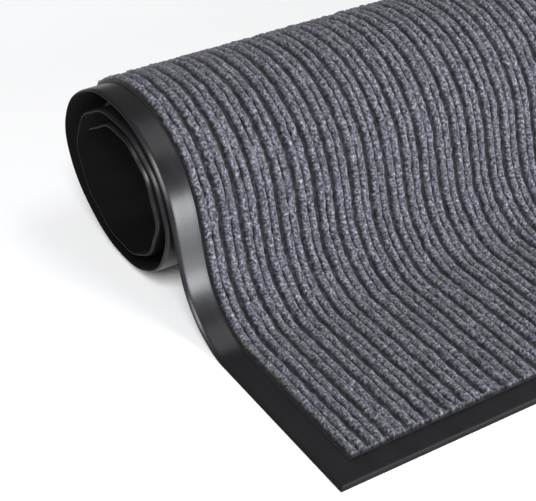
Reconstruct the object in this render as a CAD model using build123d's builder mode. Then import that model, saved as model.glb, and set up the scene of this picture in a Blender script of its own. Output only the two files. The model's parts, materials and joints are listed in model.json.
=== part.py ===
from build123d import *

import os
from math import cos, radians, sin, tan

# A ribbed door mat, partly unrolled. +X runs along the mat's width, +Y away from its front edge and
# +Z up, and the origin is on the floor in the middle of its footprint. The real mat is two flexible
# sheets: a PVC backing with a border, and a ribbed carpet welded on it. Each sheet is made as short
# stretches from the front to the rolled end, and each stretch is hinged to the one before it along a
# line across the backing's underside.

# The mat, laid flat
MAT_WIDTH = 900.0
MAT_LENGTH = 1200.0
BACKING_THICKNESS = 2.0
CARPET_THICKNESS = 4.5
BORDER = 20.0
BORDER_LIP = 0.8  # the border's outer edge is bevelled down to this height
BEVEL_WIDTH = 3.0

# The shape at rest: flat on the floor, up through a hollow curve, a straight steep stretch, then
# over the crest at the top of the roll
FLAT_LENGTH = 137.0
RISE_RADIUS = 67.0
STEEPEST_ANGLE = 72.0
STEEP_LENGTH = 31.7
CREST_RADIUS = 83.0
CURVE_JOINTS = 3  # in the hollow curve, and as many again over the crest

# The roll: half turns from the top to the bottom and back, each with its height and its bulge
HALF_TURNS = [(131.2, 89.9), (117.5, 66.7), (107.2, 69.4), (98.2, 51.5)]
HALF_TURN_BENDS = [30.0, 36.0, 48.0, 36.0, 30.0]

END_GAP = 0.1  # from a length's end to the hinge line


def oval_arc(height, bulge, start, end):
    """Length of a half turn between two angles. Its radius is mean + swing cos(2 angle)."""
    mean = (bulge + height / 2) / 2
    swing = 3 * (bulge - height / 2) / 2
    return mean * (end - start) + swing / 2 * (sin(2 * end) - sin(2 * start))


def lengths_and_bends():
    """The length of each stretch of the mat, and the bend after it in degrees, upward positive."""
    bend = STEEPEST_ANGLE / CURVE_JOINTS
    hollow_step = RISE_RADIUS * radians(bend)
    crest_step = CREST_RADIUS * radians(bend)
    lengths = [FLAT_LENGTH + hollow_step / 2]
    lengths += [hollow_step] * (CURVE_JOINTS - 1)
    lengths += [hollow_step / 2 + STEEP_LENGTH + crest_step / 2]
    lengths += [crest_step] * (CURVE_JOINTS - 1)
    bends = [bend] * CURVE_JOINTS + [-bend] * CURVE_JOINTS
    run_in = crest_step / 2
    half_turns = [(height, bulge, HALF_TURN_BENDS) for height, bulge in HALF_TURNS]
    half_turns += [(*HALF_TURNS[-1], HALF_TURN_BENDS[:1])]
    for height, bulge, turn_bends in half_turns:
        turned = 0.0
        for bend in turn_bends:
            middle = turned + radians(bend) / 2
            after = turned + radians(bend)
            lengths.append(run_in + oval_arc(height, bulge, turned, middle))
            bends.append(-bend)
            run_in = oval_arc(height, bulge, middle, after)
            turned = after
    lengths.append(MAT_LENGTH - sum(lengths))
    return lengths, bends


def stretch_frames(lengths, bends):
    """Where each stretch starts and its angle above the floor, for a mat with its front at Y = 0."""
    frames = []
    start = Vector(0, 0, 0)
    angle = 0.0
    for length, bend in zip(lengths, bends + [0.0]):
        frames.append((start, angle))
        start = start + Vector(0, length, 0).rotate(Axis.X, angle)
        angle += bend
    return frames


def footprint_depth(frames, lengths):
    """How far back the roll reaches, at the carpet's outer corners."""
    corners = []
    for (start, angle), length in zip(frames, lengths):
        for along in (0.0, length):
            corner = start + Vector(0, along, BACKING_THICKNESS + CARPET_THICKNESS).rotate(Axis.X, angle)
            corners.append(corner.Y)
    return max(corners)


def hollow_cut(bend):
    """How far an end is cut back per mm of height, so that the stretches close on a hollow bend."""
    return tan(radians(max(bend, 0.0)) / 2)


def make_backing(name, plane, length, free_start, free_end, bend_before, bend_after):
    """One stretch of the PVC backing, with its side borders and any free edge bevelled."""
    top = BACKING_THICKNESS
    half_width = MAT_WIDTH / 2
    if free_start:
        start_points = [(0, BORDER_LIP), (BEVEL_WIDTH, top)]
        start = 0.0
    else:
        start_points = [(END_GAP + hollow_cut(bend_before) * top, top)]
        start = END_GAP
    if free_end:
        end_points = [(length - BEVEL_WIDTH, top), (length, BORDER_LIP)]
        end = length
    else:
        end_points = [(length - END_GAP - hollow_cut(bend_after) * top, top)]
        end = length - END_GAP
    with BuildPart() as backing:
        with BuildSketch(plane):
            with BuildLine():
                Polyline((start, 0), *start_points, *end_points, (end, 0), close=True)
            make_face()
        extrude(amount=half_width, both=True)
        with BuildSketch(Plane(origin=plane.origin, x_dir=(1, 0, 0), z_dir=-plane.x_dir)):
            with BuildLine():
                Polyline(
                    (-half_width, 0),
                    (half_width, 0),
                    (half_width, BORDER_LIP),
                    (half_width - BEVEL_WIDTH, top),
                    (BEVEL_WIDTH - half_width, top),
                    (-half_width, BORDER_LIP),
                    close=True,
                )
            make_face()
        extrude(amount=-length, mode=Mode.INTERSECT)
    backing.part.label = name
    export_step(backing.part, f"parts/{name}.step")


def make_carpet(name, plane, start, end, bend_before, bend_after):
    """One stretch of the carpet: a slab as deep as the ribs' tops, inside the border."""
    bottom = BACKING_THICKNESS
    top = BACKING_THICKNESS + CARPET_THICKNESS
    start_cut = hollow_cut(bend_before)
    end_cut = hollow_cut(bend_after)
    with BuildPart() as carpet:
        with BuildSketch(plane):
            with BuildLine():
                Polyline(
                    (start + start_cut * bottom, bottom),
                    (start + start_cut * top, top),
                    (end - end_cut * top, top),
                    (end - end_cut * bottom, bottom),
                    close=True,
                )
            make_face()
        extrude(amount=MAT_WIDTH / 2 - BORDER, both=True)
    carpet.part.label = name
    export_step(carpet.part, f"parts/{name}.step")


def piece_name(sheet, index, last):
    """Names such as carpet_front, carpet_strip_01 and carpet_end."""
    if index == 0:
        return f"{sheet}_front"
    if index == last:
        return f"{sheet}_end"
    return f"{sheet}_strip_{index:02d}"


os.makedirs("parts", exist_ok=True)

lengths, bends = lengths_and_bends()
frames = stretch_frames(lengths, bends)
to_middle = Vector(0, -footprint_depth(frames, lengths) / 2, 0)
last = len(lengths) - 1
for index, (length, (start, angle)) in enumerate(zip(lengths, frames)):
    hinge = start + to_middle
    along = Vector(0, 1, 0).rotate(Axis.X, angle)
    bend_before = bends[index - 1] if index > 0 else 0.0
    bend_after = bends[index] if index < last else 0.0
    print(f"stretch {index} hinge {hinge.Y:.4f} {hinge.Z:.4f} angle {angle:.2f} length {length:.4f}")
    make_backing(
        piece_name("backing", index, last),
        Plane(origin=hinge, x_dir=along, z_dir=(1, 0, 0)),
        length,
        index == 0,
        index == last,
        bend_before,
        bend_after,
    )
    carpet_start = BORDER if index == 0 else END_GAP
    carpet_end = length - BORDER if index == last else length - END_GAP
    make_carpet(
        piece_name("carpet", index, last),
        Plane(origin=hinge, x_dir=along, z_dir=(1, 0, 0)),
        carpet_start,
        carpet_end,
        bend_before,
        bend_after,
    )
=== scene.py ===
"""A ribbed door mat, half unrolled: a black PVC backing with a plain border, and a grey ribbed felt
carpet on it. Both are surfaces over two distances in the sheet laid flat, across and along it."""

import json
import math

import bpy
import numpy as np
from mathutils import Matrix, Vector

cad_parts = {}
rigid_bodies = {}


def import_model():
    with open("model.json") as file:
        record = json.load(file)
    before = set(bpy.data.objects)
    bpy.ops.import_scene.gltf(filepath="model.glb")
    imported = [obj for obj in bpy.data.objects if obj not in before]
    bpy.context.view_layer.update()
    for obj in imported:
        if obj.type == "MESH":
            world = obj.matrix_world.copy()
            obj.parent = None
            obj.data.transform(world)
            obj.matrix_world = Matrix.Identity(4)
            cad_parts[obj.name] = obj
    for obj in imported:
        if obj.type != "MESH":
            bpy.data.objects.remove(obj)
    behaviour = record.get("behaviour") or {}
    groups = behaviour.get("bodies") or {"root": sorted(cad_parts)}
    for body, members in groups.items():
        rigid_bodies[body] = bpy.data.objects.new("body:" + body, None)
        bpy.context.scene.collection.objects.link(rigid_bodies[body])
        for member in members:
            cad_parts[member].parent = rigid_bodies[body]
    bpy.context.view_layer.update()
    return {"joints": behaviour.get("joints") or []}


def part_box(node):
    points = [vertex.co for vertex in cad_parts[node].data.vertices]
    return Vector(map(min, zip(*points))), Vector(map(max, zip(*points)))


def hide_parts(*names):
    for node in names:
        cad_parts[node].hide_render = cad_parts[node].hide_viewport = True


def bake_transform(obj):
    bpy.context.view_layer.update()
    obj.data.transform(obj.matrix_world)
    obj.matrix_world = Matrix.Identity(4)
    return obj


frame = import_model()

# ---------------------------------------------------------------- sizes, in metres

MAT_LENGTH = 1.200
HALF_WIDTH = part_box("backing_front")[1].x
CARPET_HALF_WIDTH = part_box("carpet_front")[1].x
BORDER = HALF_WIDTH - CARPET_HALF_WIDTH
BACKING_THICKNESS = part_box("carpet_front")[0].z
SHEET_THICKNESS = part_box("carpet_front")[1].z
FRONT_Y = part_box("backing_front")[0].y

BORDER_LIP = 0.0008  # the border's outer edge, below its rounded bevel
BEVEL_WIDTH = 0.0030
RIB_COUNT = 55
RIB_PITCH = 2 * CARPET_HALF_WIDTH / RIB_COUNT
RIB_POINTS = (0.0, 0.06, 0.105, 0.15, 0.195, 0.25, 0.32, 0.39, 0.445, 0.48)  # and the same mirrored
FLANK_TOP = 0.300  # a rib's flanks, its ridges and its crease, as shares of the pitch from its middle
FLANK_FOOT = 0.432
RIDGE = 0.19
CREASE_WIDTH = 0.056
CREASE_DEPTH = 0.74  # as a share of a rib's height, as are the ridges' fall and the lumps' room
RIDGE_FALL = 0.20
LUMP_ROOM = 0.16
GROOVE_HEIGHT = 0.0014  # felt left over the backing in a groove
CARPET_SINK = 0.0003  # how far the felt is pressed into the backing
CUT_EDGE = 0.0016  # how far in from its cut edge the felt is crushed down
RAGGED = 0.0006  # how far that edge wanders
FUZZ_PLACE = 0.0021  # loose felt in the grooves' ends: how far in, how wide, and its share of a rib
FUZZ_WIDTH = 0.0013
FUZZ_HEIGHT = 0.42
WELD_HOLLOW = 0.00025  # the backing's hollow beside the carpet, and its width
WELD_HOLLOW_WIDTH = 0.0012
BACKING_WAVES = 0.00005
FLOOR_CLEAR = 0.0001
FLOOR_LEVEL = -0.0002

CARPET_ROW = 0.0024
BACKING_ROW = 0.0018
END_ROWS = (0.00003, 0.0005, 0.0010)  # at a cut; the first is too short to show the cut face's shading
CUT_ROWS = (0.0003, 0.0007, 0.0012, 0.0018, 0.0024, 0.0032, 0.0042)  # at the carpet's own ends


# ---------------------------------------------------------------- the mat's line, from the joints


def hinge_line():
    """The hinges' places (y, z), how far along the mat each one is, and each stretch's angle. A
    joint's axis is -x where the mat bends up and +x where it bends down, and its limit is flat."""
    joints = frame["joints"]
    places = np.array([[j["pos_m"][1], j["pos_m"][2]] for j in joints])
    bends = np.array([-j["axis"][0] * math.radians(j["range_deg"][1]) for j in joints])
    steps = np.linalg.norm(np.diff(places, axis=0), axis=1)
    along = places[0, 0] - FRONT_Y + np.concatenate([[0.0], np.cumsum(steps)])
    angles = np.concatenate([[0.0], np.cumsum(bends)])
    return places, along, bends, angles


def direction(angle):
    """The unit vector (y, z) at an angle above the floor."""
    return np.stack([np.cos(angle), np.sin(angle)], axis=-1)


def normal(angle):
    """The unit vector (y, z) a quarter turn up from direction(angle), on the carpet's side."""
    return np.stack([-np.sin(angle), np.cos(angle)], axis=-1)


HINGES, HINGE_ALONG, BENDS, ANGLES = hinge_line()
STRETCH_ENDS = np.concatenate([[0.0], HINGE_ALONG, [MAT_LENGTH]])
LENGTHS = np.diff(STRETCH_ENDS)
ONE_SIDED = 0.65  # a bend spreads over at most this share of the stretch on its other side
BEFORE = np.minimum(LENGTHS[:-1] / 2, ONE_SIDED * LENGTHS[1:])
AFTER = np.minimum(LENGTHS[1:] / 2, ONE_SIDED * LENGTHS[:-1])
BEND_STARTS = HINGES - direction(ANGLES[:-1]) * BEFORE[:, None]
BEND_ENDS = HINGES + direction(ANGLES[1:]) * AFTER[:, None]
CUTS = (HINGE_ALONG[:-1] + AFTER[:-1] + HINGE_ALONG[1:] - BEFORE[1:]) / 2
PIECE_ENDS = np.concatenate([[0.0], CUTS, [MAT_LENGTH]])


def cubic_spline(knots, values):
    """A natural cubic spline: its second slopes solve the usual three-term equations, and between
    two knots it is the cubic with those second slopes and the knots' values."""
    gaps = np.diff(knots)
    system = np.eye(len(knots))
    right = np.zeros(values.shape)
    for row in range(1, len(knots) - 1):
        before, after = gaps[row - 1], gaps[row]
        system[row, row - 1 : row + 2] = before, 2 * (before + after), after
        slope_before = (values[row] - values[row - 1]) / before
        slope_after = (values[row + 1] - values[row]) / after
        right[row] = 6 * (slope_after - slope_before)
    second = np.linalg.solve(system, right)

    def at(place):
        cell = np.clip(np.searchsorted(knots, place) - 1, 0, len(gaps) - 1)
        gap = gaps[cell]
        to_left = (place - knots[cell])[:, None]
        to_right = (knots[cell + 1] - place)[:, None]
        gap = gap[:, None]
        low, high = second[cell], second[cell + 1]
        curved = low * to_right**3 / (6 * gap) + high * to_left**3 / (6 * gap)
        from_left = (values[cell] / gap - low * gap / 6) * to_right
        return curved + from_left + (values[cell + 1] / gap - high * gap / 6) * to_left

    return at


LAST_HOLLOW_TO_CREST = 0.115
CREST_ALONG = HINGE_ALONG[np.argmax(np.diff(np.sign(BENDS)) < 0)] + LAST_HOLLOW_TO_CREST
FLAT_KNOTS = (0.0, 0.35, 0.62, 0.8)  # as shares of the flat front

# Each is a list of distances past the crest, and the share at each of them
SAG_AT_HINGE = ([-0.03, 0.02, 0.15, 0.19], [0.5, 0.3, 0.3, 0.5])  # of a bend's sag, taken at its hinge
SET_IN_ROLL = ([0.0, 0.28, 0.44, 0.85], [0.12, 0.15, 0.40, 0.70])  # of the flat-true line


def smooth_line():
    """The even curve of the real sheet. Its knots are the hinges, moved in by a share of a bend's sag,
    and the stretches' middles, moved out by the rest of it, so that it sways about the stretches. A
    bend's sag is an eighth of its length times its angle."""
    flat_end = HINGE_ALONG[0] - BEFORE[0]
    knots = [*(np.array(FLAT_KNOTS) * flat_end), flat_end]
    places = [np.array([FRONT_Y + along, 0.0]) for along in knots]
    last = len(BENDS) - 1
    for joint, (hinge, bend) in enumerate(zip(HINGES, BENDS)):
        inward = normal((ANGLES[joint] + ANGLES[joint + 1]) / 2)
        share = 2 * np.interp(HINGE_ALONG[joint] - CREST_ALONG, *SAG_AT_HINGE)
        knots.append(HINGE_ALONG[joint])
        places.append(hinge + inward * (BEFORE[joint] + AFTER[joint]) * share * bend / 16)
        stretch = joint + 1
        next_bend = BENDS[stretch] if joint < last else 0.0
        middle = hinge + direction(ANGLES[stretch]) * LENGTHS[stretch] / 2
        knots.append(HINGE_ALONG[joint] + LENGTHS[stretch] / 2)
        outward = normal(ANGLES[stretch]) * (share - 2)
        places.append(middle + outward * LENGTHS[stretch] * (bend + next_bend) / 32)
    knots.append(MAT_LENGTH)
    places.append(HINGES[-1] + direction(ANGLES[-1]) * LENGTHS[-1])
    return cubic_spline(np.array(knots), np.array(places))


SMOOTH_LINE = smooth_line()


def flat_true_line(along):
    """The curve that opens to a dead flat sheet. A point at a distance from its hinge lies that far
    along the direction turned by w times the bend, and w is the smoothstep of how far the point has
    come from the bend's start to its end, so the two are found together by repetition."""
    joint = np.clip(np.searchsorted(CUTS, along), 0, len(BENDS) - 1)
    reach = (along - HINGE_ALONG[joint])[:, None]
    span = BEND_ENDS[joint] - BEND_STARTS[joint]
    place = HINGES[joint] + direction(ANGLES[joint] + BENDS[joint] / 2) * reach
    for _ in range(24):
        share = np.sum((place - BEND_STARTS[joint]) * span, axis=1) / np.sum(span**2, axis=1)
        share = np.clip(share, 0.0, 1.0)
        turned = share**2 * (3 - 2 * share) * BENDS[joint]
        place = HINGES[joint] + direction(ANGLES[joint] + turned) * reach
    return place


def mat_line(along):
    """The underside's line (y, z) and its angle. It is the even curve in the S-bend, and takes on
    more of the flat-true one further inside the roll."""

    def place(distance):
        share = np.interp(distance - CREST_ALONG, *SET_IN_ROLL)[:, None]
        return SMOOTH_LINE(distance) * (1 - share) + flat_true_line(distance) * share

    step = 0.00004
    ahead = place(np.minimum(along + step, MAT_LENGTH))
    behind = place(np.maximum(along - step, 0.0))
    slope = ahead - behind
    return place(along), np.arctan2(slope[:, 1], slope[:, 0])


# ---------------------------------------------------------------- noise over the flat sheet

LATTICE = np.random.default_rng(20).random((256, 256))


def value_noise(across, along, cell_across, cell_along, shift=0):
    """Smooth noise from -1 to 1: random values on a lattice of cells, eased between its corners."""
    u, v = across / cell_across + 1000.5 + shift * 7.3, along / cell_along + 1000.5 + shift * 3.1
    column, row = np.floor(u).astype(int), np.floor(v).astype(int)
    u, v = u - column, v - row
    u, v = u * u * (3 - 2 * u), v * v * (3 - 2 * v)

    def corner(right, up):
        return LATTICE[(column + right + 31 * shift) % 256, (row + up + 57 * shift) % 256]

    low = corner(0, 0) * (1 - u) + corner(1, 0) * u
    high = corner(0, 1) * (1 - u) + corner(1, 1) * u
    return 2 * (low * (1 - v) + high * v) - 1


def ease(value, start, end):
    """Smoothstep of value from start to end."""
    share = np.clip((value - start) / (end - start), 0.0, 1.0)
    return share * share * (3 - 2 * share)


# ---------------------------------------------------------------- meshes


def sheet_points(across, along, top, bottom):
    """Points (row, column, xyz). A point lies at (across, line(along)) plus its height times the
    line's normal; each row has its top points, then the underside's left and right ones."""
    line, angle = mat_line(along)
    up = normal(angle)
    heights = np.concatenate([top, np.full((len(along), 2), bottom)], axis=1)
    points = np.empty((*heights.shape, 3))
    points[:, :, 0] = np.concatenate([across, [across[0], across[-1]]])
    points[:, :, 1] = line[:, None, 0] + up[:, None, 0] * heights
    points[:, :, 2] = line[:, None, 1] + up[:, None, 1] * heights
    points[:, :, 2] = np.maximum(points[:, :, 2], FLOOR_CLEAR * (heights > 0))
    return points


def sheet_faces(rows, columns):
    """Face corners, where each face starts among them, and which faces are shaded flat: the top and
    the underside come first and are smooth, and the two side walls and the two end faces are flat."""
    index = np.arange(rows * (columns + 2)).reshape(rows, columns + 2)
    upper, left, right = index[:, :columns], index[:, columns], index[:, columns + 1]

    def strip(a, b):
        return np.stack([a[:-1], b[:-1], b[1:], a[1:]], axis=-1).reshape(-1, 4)

    quads = np.concatenate(
        [
            strip(upper[:, :-1], upper[:, 1:]),
            strip(right, left),
            strip(left, upper[:, 0]),
            strip(upper[:, -1], right),
        ]
    )
    start_face = np.concatenate([[left[0], right[0]], upper[0, ::-1]])
    end_face = np.concatenate([upper[-1], [right[-1], left[-1]]])
    corners = np.concatenate([quads.ravel(), start_face, end_face])
    starts = np.concatenate([np.arange(len(quads)) * 4, quads.size + np.array([0, columns + 2])])
    top_and_underside = (rows - 1) * columns
    return corners, starts, np.arange(len(starts)) >= top_and_underside


def closed_sheet(name, across, along, top, bottom):
    """A closed sheet along the mat's line: a top surface at height top over the grid of distances
    across and along, a flat underside at height bottom, two side walls and two end faces. Every
    height is measured from the underside's line, square to it. Its UV map is the place in the sheet
    laid flat, in metres, and its relief is each point's height as a share of the full one."""
    rows, columns = len(along), len(across)
    points = sheet_points(across, along, top, bottom)
    corners, starts, flat_faces = sheet_faces(rows, columns)
    mesh = bpy.data.meshes.new(name)
    mesh.vertices.add(points.size // 3)
    mesh.vertices.foreach_set("co", points.astype(np.float32).ravel())
    mesh.loops.add(len(corners))
    mesh.loops.foreach_set("vertex_index", corners.astype(np.int32))
    mesh.polygons.add(len(starts))
    mesh.polygons.foreach_set("loop_start", starts.astype(np.int32))
    mesh.update(calc_edges=True)
    mesh.attributes.new("sharp_face", "BOOLEAN", "FACE").data.foreach_set("value", flat_faces)
    widths = np.broadcast_to(points[0, :, 0], (rows, columns + 2))
    lengths = np.broadcast_to(along[:, None], (rows, columns + 2))
    flat_place = np.stack([widths, lengths], axis=-1).reshape(-1, 2)
    layer = mesh.uv_layers.new(name="flat")
    layer.data.foreach_set("uv", flat_place[corners].astype(np.float32).ravel())
    full_height = SHEET_THICKNESS - bottom
    relief = np.concatenate([top - bottom, np.zeros((rows, 2))], axis=1) / full_height
    values = mesh.attributes.new("relief", "FLOAT", "POINT").data
    values.foreach_set("value", relief.astype(np.float32).ravel())
    mesh.validate()
    piece = bpy.data.objects.new(name, mesh)
    bpy.context.scene.collection.objects.link(piece)
    return piece


def rows_between(start, end, step, fine_start=(), fine_end=()):
    """Distances from start to end, about a step apart, with short rows beside both ends."""
    first = start + np.array(fine_start or END_ROWS)
    final = end - np.array(fine_end or END_ROWS)[::-1]
    count = max(2, round((final[0] - first[-1]) / step))
    middle = np.linspace(first[-1], final[0], count + 1)[1:-1]
    return np.concatenate([[start], first, middle, final, [end]])


EDGE_STEPS = (0.0002, 0.0005, 0.0009, 0.0014, 0.0019, 0.0024, 0.0030, 0.0045, 0.0070)
WELD_STEPS = (0.0175, 0.0188, 0.0194, 0.0200, 0.0206)


def backing_height(across, along):
    """The backing's top: its full thickness, rounded down to the lip by 1 - (1 - share)^1.5 over the
    bevel, with a slight hollow along the border where the carpet is welded on."""
    from_side = HALF_WIDTH - np.abs(across)[None, :]
    from_end = np.minimum(along, MAT_LENGTH - along)[:, None]
    from_edge = np.minimum(from_side, from_end)
    share = np.clip(from_edge / BEVEL_WIDTH, 0.0, 1.0)
    rounded = 1 - (1 - share) ** 1.5
    hollow = WELD_HOLLOW * np.exp(-(((from_edge - BORDER * 0.97) / WELD_HOLLOW_WIDTH) ** 2))
    waves = BACKING_WAVES * value_noise(across[None, :], along[:, None], 0.03, 0.05, 5) * share
    return BORDER_LIP + (BACKING_THICKNESS - BORDER_LIP) * rounded - hollow + waves


def backing_columns():
    """Places across the backing: close together over its bevels, borders and carpet edges."""
    edge = np.array([0.0, *EDGE_STEPS, 0.011, 0.015, *WELD_STEPS, 0.022, 0.026])
    middle = np.linspace(edge[-1], 2 * HALF_WIDTH - edge[-1], 25)[1:-1]
    return np.concatenate([edge, middle, 2 * HALF_WIDTH - edge[::-1]]) - HALF_WIDTH


def carpet_height(across, along):
    """The felt's top. Each rib rises over two sloped flanks to two rounded ridges with a crease
    between them. The flanks and the crease wander along the rib, the ridges are lumpy, loose felt
    closes the grooves at the mat's two ends, and the felt is crushed down at its cut edges."""
    x, s = across[None, :], along[:, None]
    wander = 0.00042 * value_noise(x, s, RIB_PITCH / 2, 0.009, 1)
    wander = wander + 0.00034 * value_noise(x, s, 0.0042, 0.0034, 2)
    share = ((x + wander + CARPET_HALF_WIDTH) / RIB_PITCH) % 1.0
    from_middle = np.abs(share - 0.5)
    swell = 0.012 * value_noise(x, s, RIB_PITCH, 0.006, 3)
    body = 1 - ease(from_middle, FLANK_TOP + swell, FLANK_FOOT + swell)
    crown = 1 - RIDGE_FALL * ((from_middle - RIDGE) / RIDGE) ** 2
    crease = CREASE_DEPTH * np.exp(-((from_middle / CREASE_WIDTH) ** 2))
    crease = crease * (0.80 + 0.40 * value_noise(x, s, 0.02, 0.008, 4))
    lumps = 0.16 * value_noise(x, s, 0.0026, 0.0042, 6) + 0.12 * value_noise(x, s, 0.0014, 0.0022, 7)
    rib = body * np.clip(crown - crease + lumps - LUMP_ROOM, 0.0, 1.0)
    floor_felt = GROOVE_HEIGHT * (1 + 0.5 * value_noise(x, s, 0.0018, 0.0026, 8))
    room = SHEET_THICKNESS - BACKING_THICKNESS - GROOVE_HEIGHT
    height = floor_felt + room * rib
    ragged = RAGGED * value_noise(x, s, 0.0025, 0.0025, 9)
    from_side = CARPET_HALF_WIDTH - np.abs(x)
    from_end = np.minimum(s - BORDER, MAT_LENGTH - BORDER - s)
    past_fuzz = (from_end + ragged - FUZZ_PLACE) / FUZZ_WIDTH
    end_fuzz = FUZZ_HEIGHT * room * np.exp(-(past_fuzz**2))
    height = np.maximum(height, floor_felt + end_fuzz)
    crush = ease(np.minimum(from_side, from_end) + ragged, -0.4 * CUT_EDGE, CUT_EDGE)
    return BACKING_THICKNESS + np.maximum(height * crush, 0.0004)


def carpet_columns():
    """Places across the carpet: the same over every rib, closest at the flanks and the crease, with a
    few more at its two cut edges."""
    half = np.array(RIB_POINTS)
    one_rib = np.concatenate([half, [0.5], 1 - half[:0:-1]])
    ribs = (np.arange(RIB_COUNT)[:, None] + one_rib).ravel() * RIB_PITCH
    edge = np.array([0.0003, 0.0006])
    far_edge = 2 * CARPET_HALF_WIDTH - np.array([0.0006, 0.0003, 0.0])
    return np.sort(np.concatenate([ribs, edge, far_edge])) - CARPET_HALF_WIDTH


# ---------------------------------------------------------------- materials


def new_material(name):
    """An empty node material: its nodes, its links and its shader."""
    material = bpy.data.materials.new(name)
    material.use_nodes = True
    nodes, links = material.node_tree.nodes, material.node_tree.links
    return material, nodes, links, nodes["Principled BSDF"]


def noise(nodes, links, place, scale, detail=2.0, rough=0.5, stretch=None):
    """A noise texture on the flat sheet's own coordinates, scale features to the metre."""
    texture = nodes.new("ShaderNodeTexNoise")
    texture.inputs["Scale"].default_value = scale
    texture.inputs["Detail"].default_value = detail
    texture.inputs["Roughness"].default_value = rough
    if stretch is not None:
        mapping = nodes.new("ShaderNodeMapping")
        mapping.inputs["Scale"].default_value = stretch
        links.new(place, mapping.inputs["Vector"])
        place = mapping.outputs["Vector"]
    links.new(place, texture.inputs["Vector"])
    return texture.outputs["Fac"]


def ramp(nodes, links, value, stops):
    """A colour ramp over a value; stops are (place, grey) or (place, (r, g, b))."""
    node = nodes.new("ShaderNodeValToRGB")
    elements = node.color_ramp.elements
    while len(elements) < len(stops):
        elements.new(0.5)
    for element, (place, colour) in zip(elements, stops):
        element.position = place
        colour = (colour,) * 3 if isinstance(colour, float) else colour
        element.color = (*colour, 1.0)
    links.new(value, node.inputs["Fac"])
    return node.outputs["Color"]


def mix(nodes, links, blend, factor, first, second):
    """Two colours mixed; factor may be a number or a socket."""
    node = nodes.new("ShaderNodeMix")
    node.data_type = "RGBA"
    node.blend_type = blend
    if isinstance(factor, float):
        node.inputs[0].default_value = factor
    else:
        links.new(factor, node.inputs[0])
    for socket, value in ((node.inputs[6], first), (node.inputs[7], second)):
        if isinstance(value, tuple):
            socket.default_value = (*value, 1.0)
        else:
            links.new(value, socket)
    return node.outputs[2]


def bump(nodes, links, height, distance, strength=1.0, before=None):
    """A bump of a real height in metres, over any earlier one."""
    node = nodes.new("ShaderNodeBump")
    node.inputs["Distance"].default_value = distance
    node.inputs["Strength"].default_value = strength
    links.new(height, node.inputs["Height"])
    if before is not None:
        links.new(before, node.inputs["Normal"])
    return node.outputs["Normal"]


def felt_material():
    """Needled felt spun from light, mid and dark grey fibres: flecks one and two millimetres wide,
    drawn out a little along the ribs, with painted shade that darkens it down in the grooves, and a
    loose fibre relief."""
    material, nodes, links, shader = new_material("ribbed_felt")
    coordinates = nodes.new("ShaderNodeUVMap")
    coordinates.uv_map = "flat"
    place = coordinates.outputs["UV"]
    flecks = noise(nodes, links, place, 540.0, detail=3.0, rough=0.70, stretch=(1.0, 0.85, 1.0))
    tufts = noise(nodes, links, place, 260.0, rough=0.6, stretch=(1.0, 0.55, 1.0))
    cloud = noise(nodes, links, place, 38.0)
    heather = ramp(
        nodes,
        links,
        flecks,
        [
            (0.34, (0.006, 0.006, 0.010)),
            (0.44, (0.050, 0.050, 0.064)),
            (0.54, (0.122, 0.123, 0.145)),
            (0.67, (0.285, 0.288, 0.324)),
        ],
    )
    tuft_shade = ramp(nodes, links, tufts, [(0.32, 0.58), (0.50, 1.0), (0.68, 1.28)])
    cloud_shade = ramp(nodes, links, cloud, [(0.3, (0.90, 0.90, 0.93)), (0.7, (1.06, 1.07, 1.06))])
    relief = nodes.new("ShaderNodeAttribute")
    relief.attribute_name = "relief"
    # painted shade: the felt goes nearly black low down in the grooves and the ribs' creases, where
    # shade falls, and a little lighter on the crests as painted light
    painted_shade_stops = [(0.24, 0.02), (0.42, 0.13), (0.70, 0.72), (1.0, 1.08)]
    groove_painted_shade = ramp(nodes, links, relief.outputs["Fac"], painted_shade_stops)
    colour = mix(nodes, links, "MULTIPLY", 1.0, heather, tuft_shade)
    colour = mix(nodes, links, "MULTIPLY", 1.0, colour, cloud_shade)
    colour = mix(nodes, links, "MULTIPLY", 1.0, colour, groove_painted_shade)
    links.new(colour, shader.inputs["Base Color"])
    shader.inputs["Roughness"].default_value = 0.95
    shader.inputs["Specular IOR Level"].default_value = 0.12
    shader.inputs["Sheen Weight"].default_value = 0.12
    shader.inputs["Sheen Roughness"].default_value = 0.6
    fibres = noise(nodes, links, place, 1500.0, detail=3.0, rough=0.7, stretch=(1.0, 0.5, 1.0))
    relief_normal = bump(nodes, links, flecks, 0.0007, 0.75)
    relief_normal = bump(nodes, links, fibres, 0.0002, 0.6, relief_normal)
    links.new(relief_normal, shader.inputs["Normal"])
    return material


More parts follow.
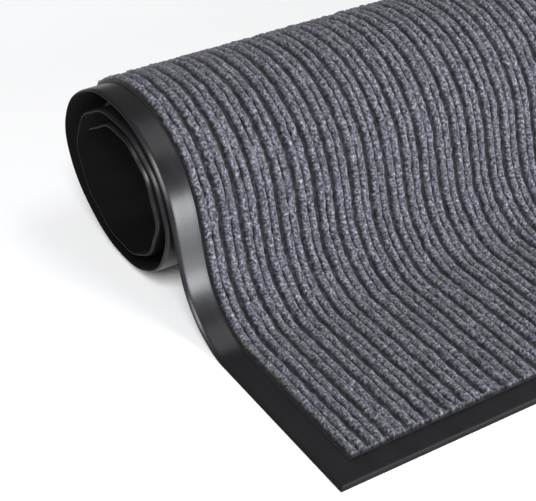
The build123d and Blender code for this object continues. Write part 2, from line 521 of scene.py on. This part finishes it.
def pvc_material():
    """Soft moulded PVC: near black, with a very fine grain and faint smears that change its roughness.
    Its upper side is semi-gloss and its underside matt, and the underside's darker colour is painted
    shade."""
    material, nodes, links, shader = new_material("black_pvc")
    coordinates = nodes.new("ShaderNodeUVMap")
    coordinates.uv_map = "flat"
    place = coordinates.outputs["UV"]
    smears = noise(nodes, links, place, 55.0, detail=4.0, rough=0.6, stretch=(1.0, 0.35, 1.0))
    grain = noise(nodes, links, place, 2600.0)
    tints = [(0.3, (0.0050, 0.0049, 0.0057)), (0.7, (0.0072, 0.0071, 0.0082))]
    tint = ramp(nodes, links, smears, tints)
    relief = nodes.new("ShaderNodeAttribute")
    relief.attribute_name = "relief"
    upper = ramp(nodes, links, relief.outputs["Fac"], [(0.01, 0.0), (0.13, 0.35), (0.28, 1.0)])
    # painted shade: the underside's colour is darker than the top's so that the roll's outer back and
    # its mouth look shaded; the underside's matt finish is real
    colour = mix(nodes, links, "MIX", upper, (0.0036, 0.0034, 0.0040), tint)
    links.new(colour, shader.inputs["Base Color"])
    gloss = ramp(nodes, links, smears, [(0.25, 0.28), (0.75, 0.38)])
    roughness = mix(nodes, links, "MIX", upper, (0.62, 0.62, 0.62), gloss)
    links.new(roughness, shader.inputs["Roughness"])
    shine = mix(nodes, links, "MIX", upper, (0.06, 0.06, 0.06), (0.5, 0.5, 0.5))
    links.new(shine, shader.inputs["Specular IOR Level"])
    links.new(bump(nodes, links, grain, 0.00003, 0.35), shader.inputs["Normal"])
    return material


# ---------------------------------------------------------------- the mat's pieces

FELT = felt_material()
PVC = pvc_material()
BODIES = [frame["joints"][0]["parent"], *(joint["child"] for joint in frame["joints"])]


def add_piece(sheet, number, columns, height, bottom, material, rows):
    """One piece of a sheet, from one cut to the next, bending over the hinge between them."""
    piece = closed_sheet(f"{sheet}_{number + 1:02d}", columns, rows, height(columns, rows), bottom)
    piece.data.materials.append(material)
    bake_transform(piece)
    stood_for = [f"{sheet}_{BODIES[number + 1]}"]
    if number == 0:
        stood_for.append(f"{sheet}_{BODIES[0]}")
    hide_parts(*stood_for)
    return piece


def build_mat():
    """Every piece of the backing and of the carpet, from the front edge to the rolled end."""
    last = len(BENDS) - 1
    for number in range(len(BENDS)):
        start, end = PIECE_ENDS[number], PIECE_ENDS[number + 1]
        front = EDGE_STEPS if number == 0 else ()
        back = EDGE_STEPS if number == last else ()
        rows = rows_between(start, end, BACKING_ROW, front, back)
        backing = add_piece(
            "backing", number, backing_columns(), backing_height, 0.0, PVC, rows
        )
        carpet_start = BORDER if number == 0 else start
        carpet_end = MAT_LENGTH - BORDER if number == last else end
        front = CUT_ROWS if number == 0 else END_ROWS[:1]
        back = CUT_ROWS if number == last else END_ROWS[:1]
        rows = rows_between(carpet_start, carpet_end, CARPET_ROW, front, back)
        carpet = add_piece(
            "carpet",
            number,
            carpet_columns(),
            carpet_height,
            BACKING_THICKNESS - CARPET_SINK,
            FELT,
            rows,
        )


build_mat()

# ---------------------------------------------------------------- stage, light and camera


def add_floor():
    """A pale floor, wide enough to fill the view, just under the mat."""
    mesh = bpy.data.meshes.new("floor")
    reach = 12.0
    around = ((-reach, -reach), (reach, -reach), (reach, reach), (-reach, reach))
    mesh.from_pydata([(x, y, FLOOR_LEVEL) for x, y in around], [], [(0, 1, 2, 3)])
    floor = bpy.data.objects.new("floor", mesh)
    bpy.context.scene.collection.objects.link(floor)
    material, _, _, shader = new_material("pale_floor")
    shader.inputs["Base Color"].default_value = (0.92, 0.92, 0.92, 1.0)
    shader.inputs["Roughness"].default_value = 0.9
    shader.inputs["Specular IOR Level"].default_value = 0.1
    mesh.materials.append(material)


COOL_WHITE = (0.93, 0.95, 1.0)
WHITE = (0.985, 0.99, 1.0)


def add_softbox(name, aim, heading, elevation, distance, size, power, colour=WHITE):
    """A rectangular light that faces the aim, seen from it at a heading from the front edge's
    outward direction, towards +x, and at an elevation."""
    light = bpy.data.lights.new(name, "AREA")
    light.shape = "RECTANGLE"
    light.size, light.size_y = size
    light.energy = power
    light.color = colour
    heading, elevation = math.radians(heading), math.radians(elevation)
    outward = Vector(
        (
            math.sin(heading) * math.cos(elevation),
            -math.cos(heading) * math.cos(elevation),
            math.sin(elevation),
        )
    )
    lamp = bpy.data.objects.new(name, light)
    lamp.location = aim + outward * distance
    lamp.rotation_euler = outward.to_track_quat("Z", "Y").to_euler()
    bpy.context.scene.collection.objects.link(lamp)


def add_lights():
    """Soft studio light: a broad key from the front left, a low softbox in front that draws the bright
    band down the raised border, a weak one overhead, and an even dim surround."""
    add_softbox(
        "front_softbox",
        aim=Vector((-HALF_WIDTH, 0.0, 0.06)),
        heading=27.0,
        elevation=12.0,
        distance=2.2,
        size=(1.1, 1.06),
        power=56.0,
        colour=COOL_WHITE,
    )
    add_softbox(
        "top_softbox",
        aim=Vector((0.0, 0.0, 0.0)),
        heading=88.0,
        elevation=66.0,
        distance=2.6,
        size=(1.6, 1.6),
        power=13.0,
    )
    add_softbox(
        "key_softbox",
        aim=Vector((-0.2, 0.0, 0.0)),
        heading=-45.0,
        elevation=47.0,
        distance=4.0,
        size=(2.0, 2.0),
        power=182.0,
    )
    world = bpy.data.worlds.new("studio")
    world.use_nodes = True
    background = world.node_tree.nodes["Background"]
    background.inputs["Color"].default_value = (*WHITE, 1.0)
    background.inputs["Strength"].default_value = 0.20
    bpy.context.scene.world = world


CAMERA_AZIMUTH = -32.01
CAMERA_ELEVATION = 34.74
CAMERA_LENS = 96.8
CAMERA_DISTANCE = 0.885
CAMERA_CORNER_RIGHT = 0.0449  # from the middle of the view to the mat's front left corner
CAMERA_CORNER_BELOW = 0.1487


def add_camera():
    """A long lens on the mat's front left corner, looking down over it."""
    azimuth, elevation = math.radians(CAMERA_AZIMUTH), math.radians(CAMERA_ELEVATION)
    back = Vector(
        (
            math.sin(azimuth) * math.cos(elevation),
            -math.cos(azimuth) * math.cos(elevation),
            math.sin(elevation),
        )
    )
    camera_data = bpy.data.cameras.new("camera")
    camera_data.lens = CAMERA_LENS
    camera_data.clip_start, camera_data.clip_end = 0.05, 50.0
    camera = bpy.data.objects.new("camera", camera_data)
    corner = Vector((-HALF_WIDTH, FRONT_Y, 0.0))
    camera.rotation_mode = "QUATERNION"
    camera.rotation_quaternion = (-back).to_track_quat("-Z", "Y")
    right = camera.rotation_quaternion @ Vector((1, 0, 0))
    up = camera.rotation_quaternion @ Vector((0, 1, 0))
    aim = corner - right * CAMERA_CORNER_RIGHT + up * CAMERA_CORNER_BELOW
    camera.location = aim + back * CAMERA_DISTANCE
    bpy.context.scene.collection.objects.link(camera)
    bpy.context.scene.camera = camera


add_floor()
add_lights()
add_camera()
bpy.context.scene.view_settings.view_transform = "Standard"
